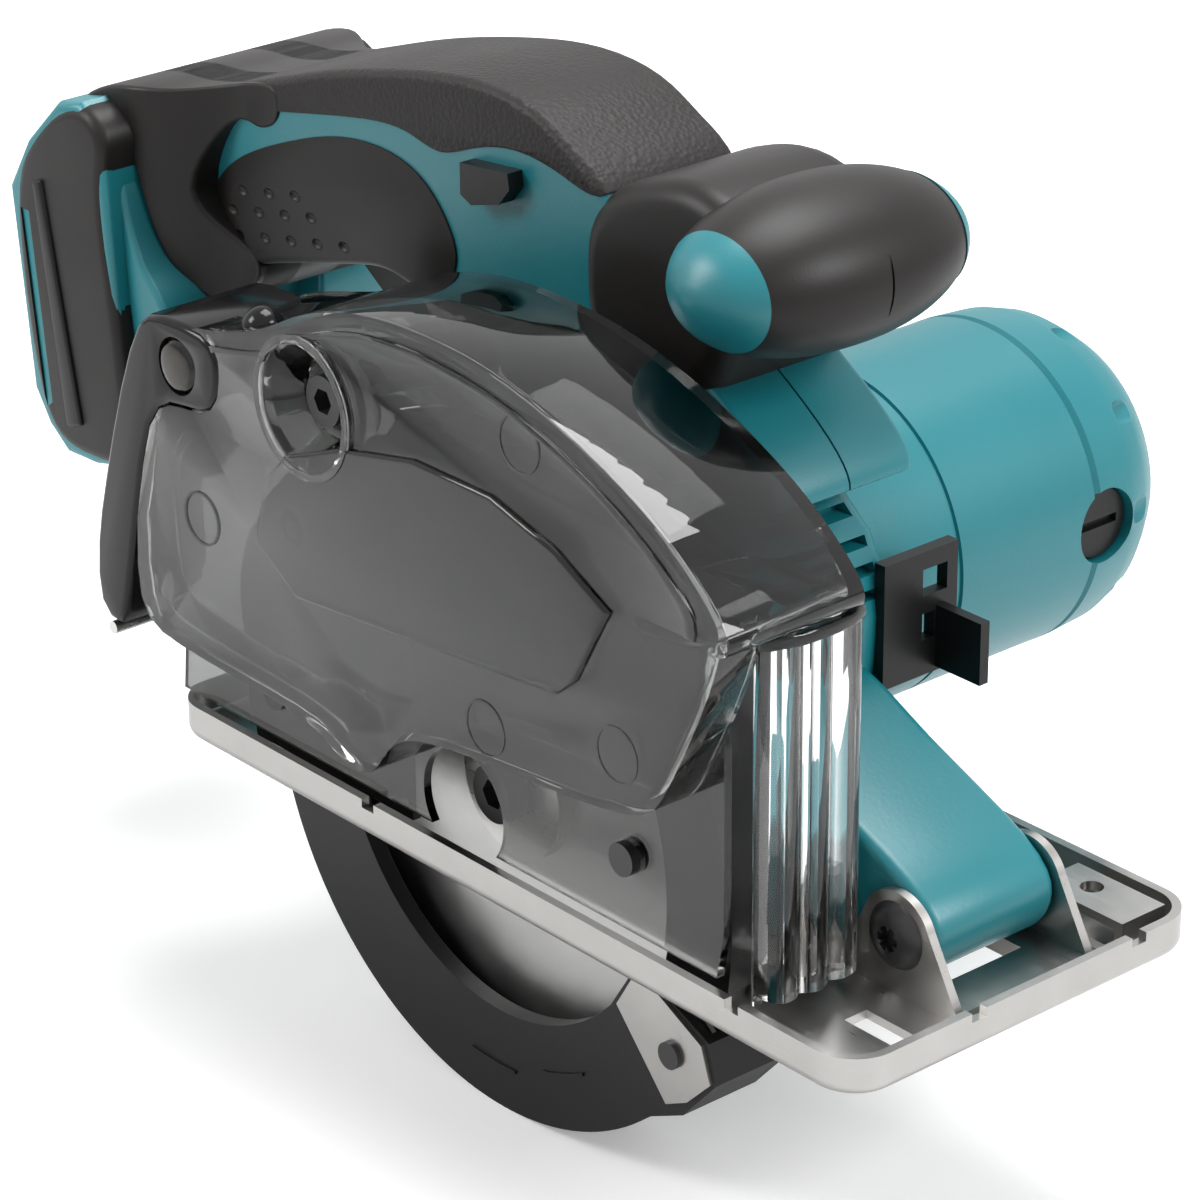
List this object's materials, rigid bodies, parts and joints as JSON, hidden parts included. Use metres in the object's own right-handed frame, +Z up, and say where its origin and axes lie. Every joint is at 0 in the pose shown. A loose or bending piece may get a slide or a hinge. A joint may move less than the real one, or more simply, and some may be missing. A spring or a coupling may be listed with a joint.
{
  "type": "circular saw",
  "caption": "Cordless metal-cutting circular saw with a D handle, front grip, side motor, clear chip box, swinging lower guard and tilting sole.",
  "frame": {"origin": "on the underside of the sole, directly below the arbor axis, in the parting plane of the handle", "axes": "+X is the cutting direction, +Y points to the motor, +Z is up, away from the sole"},
  "size_m": [0.309, 0.1855, 0.2108],
  "materials": {
    "teal_nylon": "moulded glass-filled nylon",
    "soft_black": "soft overmoulding",
    "black_plastic": "moulded",
    "smoky_clear": "clear tinted polycarbonate",
    "clear": "clear polycarbonate",
    "teal_metal": "painted casting",
    "base_steel": "brushed stainless sheet",
    "steel": "machined",
    "black_steel": "black oxide",
    "blade_steel": "ground disc",
    "copper": "copper and carbon",
    "magnet": "ferrite"
  },
  "bodies": {
    "saw": {"handle_right": "teal_nylon", "handle_left": "teal_nylon", "grip_cover_right": "soft_black", "grip_cover_left": "soft_black", "palm_pads": "soft_black", "rear_grips": "soft_black", "front_grip_right": "soft_black", "front_grip_left": "soft_black", "grip_inlays": "teal_nylon", "battery_rails": "black_plastic", "terminal_block": "black_plastic", "switch_unit": "black_plastic", "housing_screws": "black_steel", "motor_housing": "teal_nylon", "stator_can": "steel", "field_magnets": "magnet", "brush_holders": "black_plastic", "carbon_brushes": "copper", "brush_caps": "black_plastic", "armature_bearings": "steel", "gear_housing": "teal_metal", "bearing_plate": "steel", "spindle_bearings": "steel", "countershaft_bushes": "steel", "blade_case": "black_plastic", "case_cover": "smoky_clear", "case_screws": "black_steel", "front_window": "clear", "dust_box": "smoky_clear", "dust_box_bolt": "black_steel", "hinge_pin": "steel", "depth_bolt": "black_steel", "key_holder": "black_plastic"},
    "armature": {"armature_shaft": "steel", "armature_core": "steel", "commutator": "copper", "cooling_fan": "black_plastic"},
    "counter": {"countershaft": "steel", "counter_wheel": "steel"},
    "blade": {"blade": "blade_steel", "inner_flange": "steel", "outer_flange": "steel", "blade_bolt": "black_steel", "spindle": "steel", "driven_gear": "steel"},
    "guard": {"lower_guard": "black_plastic", "guard_shoe": "base_steel", "guard_rivet": "black_steel", "guard_spring": "steel"},
    "base": {"base_plate": "base_steel", "hinge_bracket": "base_steel", "guide_plate": "base_steel", "pivot_screws": "black_steel", "depth_guide": "base_steel"},
    "trigger": {"trigger": "black_plastic"},
    "lock_off": {"lock_off_lever": "black_plastic"},
    "shaft_lock": {"shaft_lock_button": "black_plastic"},
    "door": {"chip_door": "black_plastic"},
    "latch": {"latch_button": "black_plastic"},
    "depth_lever": {"depth_lever": "black_plastic"}
  },
  "joints": [
    {"name": "armature_spin", "type": "hinge", "parent": "saw", "child": "armature", "pos_m": [0.003, 0.04, 0.05], "axis": [0, 1, 0], "continuous": true},
    {"name": "countershaft_spin", "type": "hinge", "parent": "saw", "child": "counter", "pos_m": [0.00807, 0, 0.03273], "axis": [0, 1, 0], "continuous": true},
    {"name": "blade_spin", "type": "hinge", "parent": "saw", "child": "blade", "pos_m": [0, -0.043, 0.0172], "axis": [0, 1, 0], "continuous": true},
    {"name": "guard_swing", "type": "hinge", "parent": "saw", "child": "guard", "pos_m": [0, -0.043, 0.0172], "axis": [0, 1, 0], "range_deg": [0, 110], "stiffness_Nm_per_rad": 0.06, "springref_deg": -34.38, "deforming": ["guard_spring"]},
    {"name": "base_tilt", "type": "hinge", "parent": "saw", "child": "base", "pos_m": [0.096, -0.01, 0.015], "axis": [0, -1, 0], "range_deg": [0, 22]},
    {"name": "trigger_pull", "type": "slide", "parent": "saw", "child": "trigger", "axis": [0, 0, 1], "range_m": [0, 0.005], "stiffness_N_per_m": 1500, "springref_m": -0.001},
    {"name": "lock_off_press", "type": "slide", "parent": "saw", "child": "lock_off", "axis": [0, 0, -1], "range_m": [0, 0.003], "stiffness_N_per_m": 800, "springref_m": -0.001},
    {"name": "shaft_lock_press", "type": "slide", "parent": "saw", "child": "shaft_lock", "axis": [-1, 0, 0], "range_m": [0, 0.003], "stiffness_N_per_m": 800, "springref_m": -0.001},
    {"name": "chip_door_open", "type": "hinge", "parent": "saw", "child": "door", "pos_m": [-0.108, -0.055, 0.024], "axis": [0, -1, 0], "range_deg": [0, 80]},
    {"name": "latch_press", "type": "slide", "parent": "saw", "child": "latch", "axis": [0, 1, 0], "range_m": [0, 0.0015], "stiffness_N_per_m": 600, "springref_m": -0.001},
    {"name": "depth_lever_turn", "type": "hinge", "parent": "saw", "child": "depth_lever", "pos_m": [-0.06185, -0.02, 0.02189], "axis": [0, 1, 0], "range_deg": [0, 40]}
  ],
  "couplings": [
    {"joint": "countershaft_spin", "follows": "armature_spin", "ratio": -0.33333},
    {"joint": "blade_spin", "follows": "armature_spin", "ratio": 0.19697}
  ]
}
